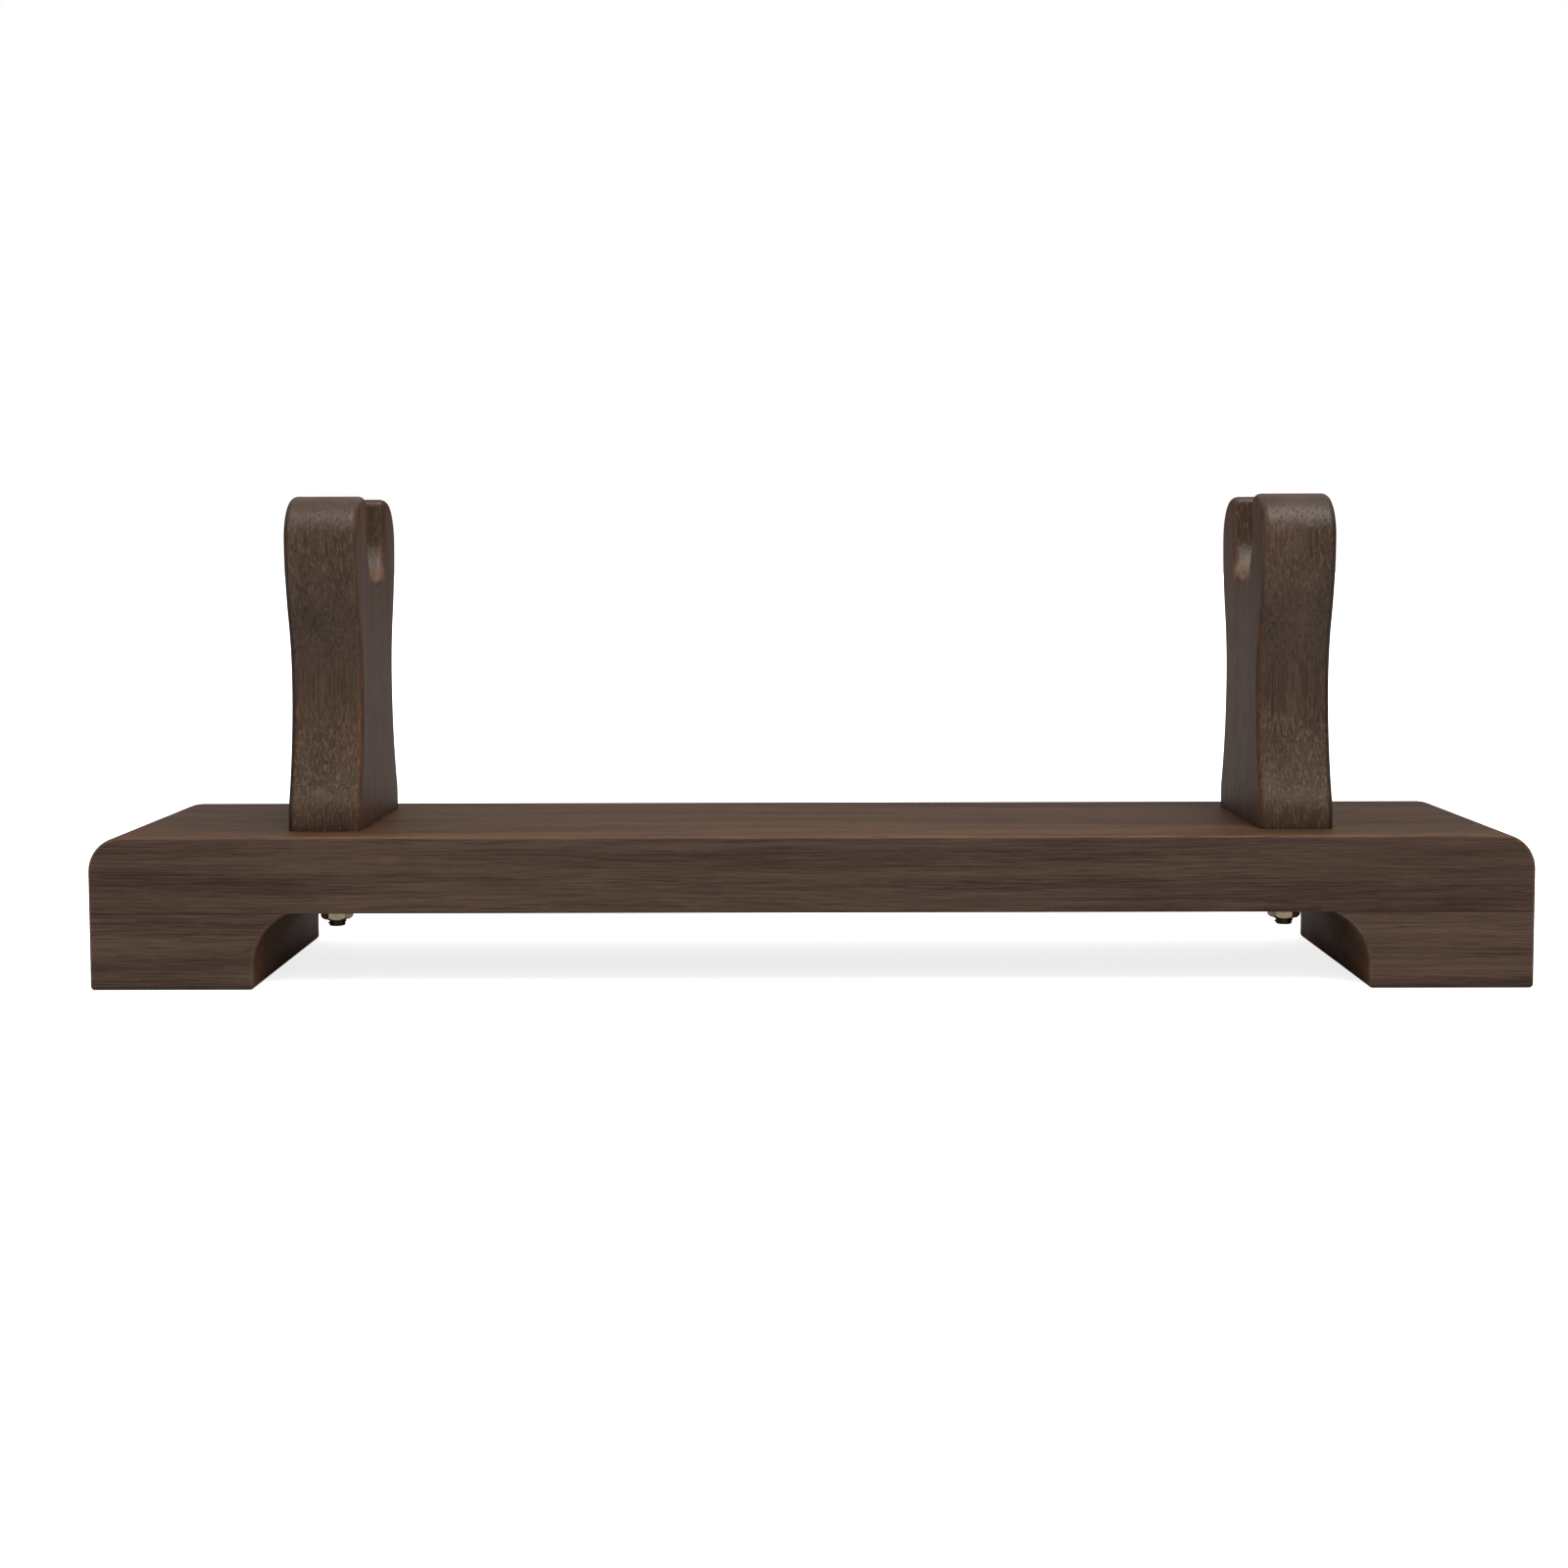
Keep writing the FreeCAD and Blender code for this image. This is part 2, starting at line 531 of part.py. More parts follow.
def make_hex_nut(side):
    """The nut that draws the stud down: a hexagon with its corners turned off at both ends."""
    body = new_body(side + "_hex_nut")
    flat = size("nut_across_flats") / 2
    corner = flat * 2 / math.sqrt(3)
    tall = size("nut_thickness")
    hexagon = new_sketch(body, "hexagon", "XY_Plane")
    corners = [(corner * math.cos(i * math.pi / 3), corner * math.sin(i * math.pi / 3)) for i in range(6)]
    lines = [add_line(hexagon, corners[i], corners[(i + 1) % 6]) for i in range(6)]
    rim = hexagon.addGeometry(Part.Circle(point(0, 0), FreeCAD.Vector(0, 0, 1), corner), True)
    constrain(hexagon, "Coincident", rim, 3, -1, 1)
    for i in range(6):
        constrain(hexagon, "Coincident", lines[i], 2, lines[(i + 1) % 6], 1)
        constrain(hexagon, "PointOnObject", lines[i], 1, rim)
    for i in range(1, 6):
        constrain(hexagon, "Equal", lines[0], lines[i])
    constrain(hexagon, "PointOnObject", lines[0], 1, -1)
    constrain(hexagon, "Diameter", rim, 2 * corner, name="across_corners",
              formula="nut_across_flats * 2 / sqrt(3)")
    new_pad(body, "blank", hexagon, "nut_thickness")

    turned = new_sketch(body, "turned_corners", "XZ_Plane")
    past = 2 * corner - flat
    for name, level, sign in (("upper", tall, 1), ("lower", 0, -1)):
        drop = sign * size("nut_corner_drop")
        wedge = [(flat, level), (past, level), (past, level - 2 * drop)]
        sides = [add_line(turned, wedge[i], wedge[(i + 1) % 3]) for i in range(3)]
        for i in range(3):
            constrain(turned, "Coincident", sides[i], 2, sides[(i + 1) % 3], 1)
        constrain(turned, "Horizontal", sides[0])
        constrain(turned, "Vertical", sides[1])
        constrain(turned, "DistanceX", -1, 1, sides[0], 1, flat, name=name + "_flat",
                  formula="nut_across_flats / 2")
        constrain(turned, "DistanceX", sides[0], 1, sides[0], 2, past - flat, name=name + "_run",
                  formula="nut_across_flats * (2 / sqrt(3) - 1)")
        constrain(turned, "DistanceY", sides[1], 1, sides[1], 2, -2 * drop, name=name + "_drop",
                  formula=signed(-sign, "2 * nut_corner_drop"))
        if level:
            constrain(turned, "DistanceY", -1, 1, sides[0], 1, tall, name=name + "_level",
                      formula="nut_thickness")
        else:
            constrain(turned, "PointOnObject", sides[0], 1, -1)
    before = body.Shape.Volume
    groove = body.newObject("PartDesign::Groove", body.Label + "_corner_turning")
    groove.Profile = turned
    groove.ReferenceAxis = (turned, ["V_Axis"])
    groove.Angle = 360
    doc.recompute()
    if body.Shape.Volume >= before:
        raise RuntimeError(groove.Name + " cuts nothing")

    bore(body, "nut_thickness")
    lift = size("foot_height") - size("washer_thickness") - tall
    place(body, stud_across(side), -size("stud_forward"), lift, turn=SIDES[side] * size("nut_turn"))


def make_dowel(label, across, back, seam):
    """A wooden dowel across a glued seam, a little short of both its holes."""
    body = make_rod(label, "dowel_diameter", "dowel_length", "dowel_chamfer")
    place(body, across, back, seam)


def make_dowels(side):
    """The two dowels of one post and the two of one foot."""
    spare = (size("dowel_hole_in_board") + size("dowel_hole_in_piece") - size("dowel_length")) / 2
    post_bottom = size("foot_height") + size("board_thickness") - size("dowel_hole_in_board") + spare
    foot_bottom = size("foot_height") - size("dowel_hole_in_piece") + spare
    foot_across = SIDES[side] * (size("overall_length") / 2 - size("foot_dowel_inset"))
    for end, reach in ENDS.items():
        post_label = "%s_post_dowel_%s" % (side, end)
        foot_label = "%s_foot_dowel_%s" % (side, end)
        make_dowel(post_label, post_across(side), reach * size("post_dowel_offset"), post_bottom)
        make_dowel(foot_label, foot_across, reach * size("foot_dowel_offset"), foot_bottom)


make_base_board()
for side_name in SIDES:
    make_foot(side_name)
    make_post(side_name)
    make_stud(side_name)
    make_insert(side_name)
    make_washer(side_name)
    make_hex_nut(side_name)
    make_dowels(side_name)

doc.recompute()
for item in doc.Objects:
    if "Invalid" in item.State or "Error" in item.State:
        raise RuntimeError(item.Label + " failed: " + str(item.State))
bodies = [item for item in doc.Objects if item.TypeId == "PartDesign::Body"]
for item in bodies:
    if item.Shape.isNull() or not item.Shape.isValid() or len(item.Shape.Solids) != 1:
        raise RuntimeError(item.Label + " is not one sound solid")

os.makedirs("parts", exist_ok=True)
for item in bodies:
    item.Shape.exportStep("parts/" + item.Label + ".step")
    box = item.Shape.optimalBoundingBox()
    print("%-26s x %8.2f %8.2f  y %7.2f %7.2f  z %7.2f %7.2f  volume %10.1f" % (
        item.Label, box.XMin, box.XMax, box.YMin, box.YMax, box.ZMin, box.ZMax, item.Shape.Volume))
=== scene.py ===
import math

import bmesh
import bpy
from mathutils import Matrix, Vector


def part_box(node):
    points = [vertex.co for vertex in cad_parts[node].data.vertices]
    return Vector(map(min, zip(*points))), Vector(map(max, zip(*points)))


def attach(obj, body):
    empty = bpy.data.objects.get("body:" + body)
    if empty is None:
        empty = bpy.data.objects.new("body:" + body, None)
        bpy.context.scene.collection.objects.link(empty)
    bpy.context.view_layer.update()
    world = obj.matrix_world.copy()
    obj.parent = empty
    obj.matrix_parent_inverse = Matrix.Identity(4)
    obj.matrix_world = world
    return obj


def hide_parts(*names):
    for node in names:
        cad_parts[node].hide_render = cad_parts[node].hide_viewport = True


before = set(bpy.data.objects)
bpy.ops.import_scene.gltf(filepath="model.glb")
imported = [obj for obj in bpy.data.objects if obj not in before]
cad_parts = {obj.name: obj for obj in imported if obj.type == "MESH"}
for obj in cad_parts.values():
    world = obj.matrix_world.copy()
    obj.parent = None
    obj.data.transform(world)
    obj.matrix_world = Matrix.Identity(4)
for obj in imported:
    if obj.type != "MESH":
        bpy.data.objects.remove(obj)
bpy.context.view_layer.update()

# A low two-post cradle stand in dark stained wood, in metres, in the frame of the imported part: +X along the
# plank, the front faces -Y, +Z up, the origin on the floor under the middle.

SIDES = ("left", "right")
INCH = 0.0254
THREAD_PITCH = INCH / 16
THREAD_DEPTH = 0.61 * THREAD_PITCH
THREAD_ROOT_SHARE = 0.10
THREAD_FLANK_SHARE = 0.72
THREAD_ROWS_PER_TURN = 8
THREAD_STEPS_ROUND = 48
INNER_THREAD_SHARE = 0.9
INNER_THREAD_CLEARANCE = 0.00004
STUD_CHAMFER_SLOPE = 0.8
NUT_STEPS_ROUND = 96
NUT_TURN = math.radians(-12.0)
NUT_CHAMFER_SLOPE = math.tan(math.radians(45.0))
NUT_FACE_SHARE = 0.985
BORE_CHAMFER = 0.0006
BORE_MOUTH_SHARE = 0.4

POST_LOW, POST_HIGH = (Vector(corner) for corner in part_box("right_post"))
POST_MIDDLE = (POST_LOW.x + POST_HIGH.x) / 2
PLANK_TOP = POST_LOW.z
PLANK_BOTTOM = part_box("base_board")[0][2]
NOTCH_FLOOR = POST_HIGH.z - 0.042
NOTCH_HALF_WIDTH = 0.0225

# How squarely a surface has to face along an axis for a tint to begin, and to show in full.
SOFT_FACE = (0.5, 0.9)
FLAT_FACE = (0.80, 0.98)
SHARP_FACE = (0.90, 0.995)


# ---------------------------------------------------------------------------------------------- materials

class Nodes:
    """A material's node tree, with short ways to add nodes and join them."""

    def __init__(self, name):
        self.material = bpy.data.materials.new(name)
        self.material.use_nodes = True
        self.tree = self.material.node_tree
        self.tree.nodes.clear()
        self.shader = self.tree.nodes.new("ShaderNodeBsdfPrincipled")
        output = self.tree.nodes.new("ShaderNodeOutputMaterial")
        self.join(self.shader.outputs["BSDF"], output.inputs["Surface"])
        self.place = self.tree.nodes.new("ShaderNodeTexCoord").outputs["Object"]

    def join(self, source, target):
        self.tree.links.new(source, target)

    def value(self, socket, source):
        """Set a socket to a number, a colour or another node's output."""
        if isinstance(source, bpy.types.NodeSocket):
            self.join(source, socket)
        else:
            socket.default_value = source

    def math(self, operation, first, second=None):
        node = self.tree.nodes.new("ShaderNodeMath")
        node.operation = operation
        self.value(node.inputs[0], first)
        if second is not None:
            self.value(node.inputs[1], second)
        return node.outputs[0]

    def product(self, *factors):
        """The product of several factors."""
        result = factors[0]
        for factor in factors[1:]:
            result = self.math("MULTIPLY", result, factor)
        return result

    def total(self, *weighted):
        """The sum of (source, weight) pairs."""
        result = self.product(*weighted[0])
        for source, weight in weighted[1:]:
            result = self.math("ADD", result, self.product(source, weight))
        return result

    def split(self, vector):
        node = self.tree.nodes.new("ShaderNodeSeparateXYZ")
        self.join(vector, node.inputs[0])
        return node.outputs

    def merge(self, *parts):
        node = self.tree.nodes.new("ShaderNodeCombineXYZ")
        for target, source in zip(node.inputs, parts):
            self.value(target, source)
        return node.outputs[0]

    def stretch(self, vector, scale, shift=(0, 0, 0)):
        node = self.tree.nodes.new("ShaderNodeMapping")
        node.inputs["Scale"].default_value = scale
        node.inputs["Location"].default_value = shift
        self.join(vector, node.inputs["Vector"])
        return node.outputs[0]

    def noise(self, vector, scale, detail=3.0, roughness=0.55):
        """Smooth noise with its own scale, in features per metre, along each axis."""
        node = self.tree.nodes.new("ShaderNodeTexNoise")
        node.inputs["Scale"].default_value = 1.0
        node.inputs["Detail"].default_value = detail
        node.inputs["Roughness"].default_value = roughness
        self.join(self.stretch(vector, scale), node.inputs["Vector"])
        return node.outputs["Fac"]

    def ramp(self, factor, stops):
        node = self.tree.nodes.new("ShaderNodeValToRGB")
        elements = node.color_ramp.elements
        while len(elements) < len(stops):
            elements.new(0.5)
        for element, (position, colour) in zip(elements, stops):
            element.position = position
            element.color = (*colour, 1.0)
        self.join(factor, node.inputs["Fac"])
        return node.outputs["Color"]

    def levels(self, factor, low, high):
        """Stretch a range of a factor smoothly over 0 to 1, clamped; the range may run downwards."""
        node = self.tree.nodes.new("ShaderNodeMapRange")
        node.interpolation_type = "SMOOTHSTEP"
        node.inputs["From Min"].default_value = min(low, high)
        node.inputs["From Max"].default_value = max(low, high)
        node.inputs["To Min"].default_value = 0.0 if low < high else 1.0
        node.inputs["To Max"].default_value = 1.0 if low < high else 0.0
        self.join(factor, node.inputs["Value"])
        return node.outputs[0]

    def mix(self, factor, first, second, blend="MIX"):
        node = self.tree.nodes.new("ShaderNodeMix")
        node.data_type = "RGBA"
        node.blend_type = blend
        self.value(node.inputs[0], factor)
        self.value(node.inputs[6], first if isinstance(first, bpy.types.NodeSocket) else (*first, 1.0))
        self.value(node.inputs[7], second if isinstance(second, bpy.types.NodeSocket) else (*second, 1.0))
        return node.outputs[2]

    def bump(self, height, distance, strength):
        node = self.tree.nodes.new("ShaderNodeBump")
        node.inputs["Distance"].default_value = distance
        node.inputs["Strength"].default_value = strength
        self.join(height, node.inputs["Height"])
        return node.outputs[0]

    def outward(self):
        """The distance along X from the middle of the stand."""
        return self.math("ABSOLUTE", self.split(self.place)[0])

    def facing(self, axis):
        """How squarely the surface faces along an axis, from 0 to 1."""
        geometry = self.tree.nodes.new("ShaderNodeNewGeometry")
        return self.math("ABSOLUTE", self.split(geometry.outputs["Normal"])[axis])

    def face(self, axis, fade):
        """1 on a face square to an axis, fading to 0 over a range of facing as its edge turns away."""
        return self.levels(self.facing(axis), *fade)

    def rounded(self, axis):
        """Where the surface rounds over from facing along an axis to facing across it: 1 at 45 degrees."""
        facing = self.facing(axis)
        squared = self.product(facing, facing)
        both = self.product(squared, self.math("SUBTRACT", 1.0, squared), 4.0)
        return self.levels(both, 0.05, 0.60)

    def crevices(self, distance):
        """How open the surface is to its surroundings: 1 in the open, less beside another piece."""
        node = self.tree.nodes.new("ShaderNodeAmbientOcclusion")
        node.samples = 6
        node.inputs["Distance"].default_value = distance
        return node.outputs["AO"]


def grain_space(nodes, along, across, seed):
    """Coordinates as (along the grain, through the rings, round the rings), gently waving."""
    third = ({0, 1, 2} - {along, across}).pop()
    axes = nodes.split(nodes.place)
    shifted = nodes.stretch(nodes.merge(axes[along], axes[across], axes[third]), (1, 1, 1), seed)
    wander = nodes.noise(shifted, (4.0, 18.0, 18.0), detail=2.0)
    waver = nodes.noise(shifted, (22.0, 120.0, 120.0), detail=2.0)
    long_sway, short_sway = 0.005, 0.0010
    sway = nodes.total((nodes.math("SUBTRACT", wander, 0.5), long_sway),
                       (nodes.math("SUBTRACT", waver, 0.5), short_sway))
    parts = nodes.split(shifted)
    return nodes.merge(parts[0], nodes.math("ADD", parts[1], sway), nodes.math("ADD", parts[2], sway))


def stained_wood(name, along, across, seed, colours, gloss, flecks=None, tints=()):
    """Dark stained open-grained wood.

    Soft bands, fine broken streaks and dark pores run along the grain. colours are its dark, middle and
    light tones. flecks(nodes) says how strongly short curly pale dashes show. Each of tints(nodes) gives a
    (factor, colour) that multiplies the tone, for a face, an edge or a patch. gloss is the specular level.
    """
    nodes = Nodes(name)
    dark, middle, light = colours
    grain = grain_space(nodes, along, across, seed)
    bands = nodes.noise(grain, (3.0, 95.0, 40.0), roughness=0.6)
    streaks = nodes.noise(grain, (22.0, 1500.0, 1250.0), detail=4.0, roughness=0.62)
    fibres = nodes.noise(grain, (90.0, 1900.0, 1900.0), detail=2.0, roughness=0.7)
    tone = nodes.total((bands, 0.34), (streaks, 0.44), (fibres, 0.22))
    colour = nodes.ramp(tone, [(0.38, dark), (0.5, middle), (0.64, light)])

    pores = nodes.levels(nodes.noise(grain, (48.0, 1150.0, 1000.0), detail=1.0), 0.60, 0.72)
    colour = nodes.mix(nodes.product(pores, 0.45), colour, dark)
    if flecks:
        curl = nodes.noise(grain, (60.0, 170.0, 170.0), detail=1.0)
        parts = nodes.split(grain)
        curly = nodes.merge(parts[0], nodes.math("ADD", parts[1], nodes.product(curl, 0.003)),
                            nodes.math("ADD", parts[2], nodes.product(curl, 0.005)))
        dashes = nodes.levels(nodes.noise(curly, (260.0, 900.0, 950.0), detail=2.0), 0.50, 0.68)
        colour = nodes.mix(nodes.product(dashes, flecks(nodes)), colour, [1.5 * part for part in light])
    for tint in tints:
        factor, multiplier = tint(nodes)
        colour = nodes.mix(factor, colour, multiplier, blend="MULTIPLY")

    # Painted shade: the colour darkens where another piece closes in, as a contact shadow in corners and
    # round the post feet.
    painted_contact_shade = nodes.levels(nodes.crevices(0.007), 0.85, 0.35)
    colour = nodes.mix(nodes.product(painted_contact_shade, 0.75), colour, (0.35, 0.33, 0.32), blend="MULTIPLY")
    nodes.join(colour, nodes.shader.inputs["Base Color"])

    sheen = nodes.total((streaks, 0.14), (pores, 0.12))
    nodes.join(nodes.math("ADD", sheen, 0.38), nodes.shader.inputs["Roughness"])
    nodes.shader.inputs["Specular IOR Level"].default_value = gloss
    relief = nodes.total((streaks, 0.6), (fibres, 0.3), (pores, -0.9))
    nodes.join(nodes.bump(relief, 0.00016, 0.7), nodes.shader.inputs["Normal"])
    return nodes.material


def end_grain(axis, colour):
    """The ends of the grain take the stain in another tone."""
    return lambda nodes: (nodes.face(axis, FLAT_FACE), colour)


def pale_edges(nodes):
    """The front and back edges of the base are rubbed back through the stain."""
    return nodes.rounded(1), (1.30, 1.26, 1.20)


def glue_seam(nodes):
    """A fine dark line where the plank meets its feet."""
    seam_edge, seam_core = 0.0006, 0.0001
    up = nodes.split(nodes.place)[2]
    away = nodes.math("ABSOLUTE", nodes.math("SUBTRACT", up, PLANK_BOTTOM))
    return nodes.levels(away, seam_edge, seam_core), (0.55, 0.52, 0.50)


def plank_top(nodes):
    """The flat-sawn top is warmer and lighter than the edges."""
    return nodes.face(2, SOFT_FACE), (1.20, 1.02, 0.72)


def plank_top_front_painted_highlight(nodes):
    """The part of the top nearest the front is lightened by a painted highlight from the light in front."""
    toward_front = nodes.levels(nodes.split(nodes.place)[1], -0.020, -0.060)
    return nodes.product(toward_front, nodes.face(2, SOFT_FACE)), (1.26, 1.24, 1.20)


def plank_top_patches(nodes):
    """Broad soft darker patches lie along the top."""
    patches = nodes.levels(nodes.noise(nodes.place, (9.0, 70.0, 70.0)), 0.44, 0.62)
    return nodes.product(patches, nodes.face(2, SOFT_FACE)), (0.84, 0.82, 0.78)


def plank_ends(nodes):
    """The plank grows a little darker from its posts outward."""
    return nodes.levels(nodes.outward(), 0.20, 0.30), (0.90, 0.89, 0.88)


def foot_flanks(nodes):
    """The coved flanks that face the middle of the stand are warmer than the outer ends."""
    inner = nodes.levels(nodes.outward(), POST_HIGH.x + 0.060, POST_HIGH.x + 0.040)
    return nodes.product(inner, nodes.face(0, FLAT_FACE)), (1.53, 1.29, 1.17)


def post_sides(nodes):
    """The quarter-sawn sides of a post are redder, with straight grain."""
    return nodes.face(0, SHARP_FACE), (1.55, 1.20, 0.98)


def post_inner_edges(nodes):
    """The edges that face the middle of the stand are rubbed to a reddish brown."""
    inner = nodes.levels(nodes.outward(), POST_MIDDLE + 0.002, POST_MIDDLE - 0.004)
    return nodes.product(inner, nodes.rounded(0)), (1.30, 1.14, 1.08)


def post_outer_edges_painted_shade(nodes):
    """The outer edges are darkened with painted shade, where the rounds turn away from the light."""
    outer = nodes.levels(nodes.outward(), POST_MIDDLE - 0.002, POST_MIDDLE + 0.004)
    return nodes.product(outer, nodes.rounded(0)), (0.50, 0.47, 0.45)


def notch_floor_painted_light(nodes):
    """The bottom of the notch is lightened with a painted highlight, where light from above falls on it."""
    axes = nodes.split(nodes.place)
    off_middle, up = nodes.math("ABSOLUTE", axes[1]), axes[2]
    near_floor = nodes.levels(up, NOTCH_FLOOR + 0.011, NOTCH_FLOOR + 0.004)
    inside = nodes.levels(off_middle, NOTCH_HALF_WIDTH + 0.0005, NOTCH_HALF_WIDTH - 0.0045)
    not_below = nodes.levels(up, NOTCH_FLOOR - 0.0015, NOTCH_FLOOR + 0.0015)
    return nodes.product(near_floor, inside, not_below), (2.0, 2.2, 2.4)


def post_flecks(nodes):
    """Flecks crowd the foot of a post's front and back, thin out above, and return round its head."""
    up = nodes.split(nodes.place)[2]
    foot = nodes.levels(up, PLANK_TOP + 0.070, PLANK_TOP + 0.045)
    head = nodes.product(nodes.levels(up, POST_HIGH.z - 0.060, POST_HIGH.z - 0.040), 0.6)
    amount = nodes.math("ADD", nodes.math("MAXIMUM", foot, head), 0.22)
    return nodes.product(amount, nodes.face(1, SOFT_FACE), 0.55)


def zinc(name, colour, tint, seed):
    """Zinc plate: a warm metal with drifting tints, fine scratches and painted shade darkening its hollows.
    """
    nodes = Nodes(name)
    place = nodes.stretch(nodes.place, (1, 1, 1), seed)
    clouds = nodes.levels(nodes.noise(place, (210.0, 210.0, 210.0)), 0.35, 0.65)
    scratches = nodes.noise(place, (900.0, 900.0, 5200.0))
    finish = nodes.mix(clouds, colour, tint)
    # Painted shade: the metal darkens in its hollows and beside other pieces.
    painted_hollow_shade = nodes.levels(nodes.crevices(0.0015), 0.8, 0.3)
    shaded_zinc_finish = nodes.mix(nodes.product(painted_hollow_shade, 0.7), finish, (0.10, 0.09, 0.06))
    nodes.join(shaded_zinc_finish, nodes.shader.inputs["Base Color"])
    nodes.shader.inputs["Metallic"].default_value = 1.0
    rough = nodes.total((scratches, 0.24), (clouds, 0.08))
    nodes.join(nodes.math("ADD", rough, 0.20), nodes.shader.inputs["Roughness"])
    nodes.join(nodes.bump(scratches, 0.00003, 0.5), nodes.shader.inputs["Normal"])
    return nodes.material


def give(thing, material):
    """Put one material on a whole object."""
    thing.data.materials.clear()
    thing.data.materials.append(material)


BASE_COLOURS = ((0.027, 0.0147, 0.0094), (0.059, 0.0342, 0.0230), (0.091, 0.0550, 0.0365))
POST_COLOURS = ((0.025, 0.0126, 0.0071), (0.053, 0.0290, 0.0164), (0.083, 0.0480, 0.0276))
BEECH_COLOURS = ((0.36, 0.23, 0.13), (0.50, 0.34, 0.21), (0.60, 0.43, 0.28))
BASE_GLOSS = 0.15
POST_GLOSS = 0.30
BASE_END_TINT = (0.95, 0.90, 0.84)
POST_END_TINT = (1.12, 1.02, 0.84)
BEECH_END_TINT = (0.80, 0.78, 0.75)

plank_wood = stained_wood("plank_stained_wood", 0, 2, (0.31, 0.12, 0.07), BASE_COLOURS, BASE_GLOSS,
                          tints=(end_grain(0, BASE_END_TINT), plank_top, plank_top_front_painted_highlight,
                                 plank_top_patches, plank_ends, pale_edges, glue_seam))
foot_wood = stained_wood("foot_stained_wood", 0, 2, (0.83, 0.44, 0.19), BASE_COLOURS, BASE_GLOSS,
                         tints=(end_grain(0, BASE_END_TINT), foot_flanks, pale_edges, glue_seam))
post_woods = {
    side: stained_wood(side + "_post_stained_wood", 2, 1, seed, POST_COLOURS, POST_GLOSS,
                       flecks=post_flecks,
                       tints=(end_grain(2, POST_END_TINT), post_sides, post_inner_edges,
                              post_outer_edges_painted_shade, notch_floor_painted_light))
    for side, seed in (("left", (0.2, 0.05, 0.4)), ("right", (0.7, 0.35, 0.9)))
}
beech = stained_wood("bare_beech", 2, 0, (0.5, 0.5, 0.5), BEECH_COLOURS, BASE_GLOSS,
                     tints=(end_grain(2, BEECH_END_TINT),))
gold_zinc = zinc("yellow_zinc", (0.95, 0.70, 0.52), (0.80, 0.76, 0.46), (0.1, 0.2, 0.3))
dark_zinc = zinc("worn_yellow_zinc", (0.42, 0.37, 0.24), (0.28, 0.27, 0.20), (0.6, 0.3, 0.2))
bright_zinc = zinc("bright_zinc", (0.60, 0.60, 0.58), (0.50, 0.51, 0.53), (0.4, 0.1, 0.6))

for node_name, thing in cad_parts.items():
    side_name = node_name.split("_")[0]
    if "dowel" in node_name:
        give(thing, beech)
    elif "insert" in node_name:
        give(thing, bright_zinc)
    elif "washer" in node_name:
        give(thing, gold_zinc)
    elif "post" in node_name:
        give(thing, post_woods[side_name])
    elif "foot" in node_name:
        give(thing, foot_wood)
    elif "board" in node_name:
        give(thing, plank_wood)


# ----------------------------------------------------------------------------------------- studs and nuts

def thread_rise(up, angle):
    """How far a thread stands out of its root, from 0 to 1, at a height and an angle round its axis."""
    turn = (up / THREAD_PITCH - angle / (2 * math.pi)) % 1.0
    flank = 1 - abs(2 * turn - 1)
    return min(1.0, max(0.0, (flank - THREAD_ROOT_SHARE) / THREAD_FLANK_SHARE))


def ring_skin(rings, closed):
    """A mesh over rings of points, joined in order; closed joins the last ring to the first."""
    mesh = bmesh.new()
    rows = [[mesh.verts.new(place) for place in ring] for ring in rings]
    pairs = list(zip(rows, rows[1:])) + ([(rows[-1], rows[0])] if closed else [])
    for lower, upper in pairs:
        count = len(lower)
        for i in range(count):
            following = (i + 1) % count
            mesh.faces.new((lower[i], lower[following], upper[following], upper[i]))
    if not closed:
        mesh.faces.new(reversed(rows[0]))
        mesh.faces.new(rows[-1])
    bmesh.ops.recalc_face_normals(mesh, faces=mesh.faces)
    return mesh


def add_piece(name, mesh, material, node):
    """Make a piece that stands for a CAD node and rides with the stand."""
    data = bpy.data.meshes.new(name)
    mesh.to_mesh(data)
    mesh.free()
    piece = bpy.data.objects.new(name, data)
    bpy.context.scene.collection.objects.link(piece)
    data.materials.append(material)
    data.set_sharp_from_angle(angle=math.radians(35.0))
    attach(piece, "root")
    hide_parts(node)
    return piece


def round_ring(axis, up, steps, radius_at):
    """A level ring of points round an upright axis, with a radius for each angle."""
    ring = []
    for i in range(steps):
        angle = 2 * math.pi * i / steps
        radius = radius_at(angle)
        ring.append((axis.x + radius * math.cos(angle), axis.y + radius * math.sin(angle), up))
    return ring


def make_stud(side):
    """A stud with its helical thread, chamfered at both ends."""
    node = side + "_stud"
    low, high = (Vector(corner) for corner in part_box(node))
    axis = (low + high) / 2
    crest = (high.x - low.x) / 2
    root = crest - THREAD_DEPTH
    count = round((high.z - low.z) / THREAD_PITCH * THREAD_ROWS_PER_TURN)
    rings = []
    for k in range(count + 1):
        up = low.z + (high.z - low.z) * k / count
        limit = root + min(up - low.z, high.z - up) * STUD_CHAMFER_SLOPE

        def radius_at(angle):
            return min(root + THREAD_DEPTH * thread_rise(up, angle), limit)

        rings.append(round_ring(axis, up, THREAD_STEPS_ROUND, radius_at))
    add_piece(side + "_threaded_stud", ring_skin(rings, closed=False), dark_zinc, node)


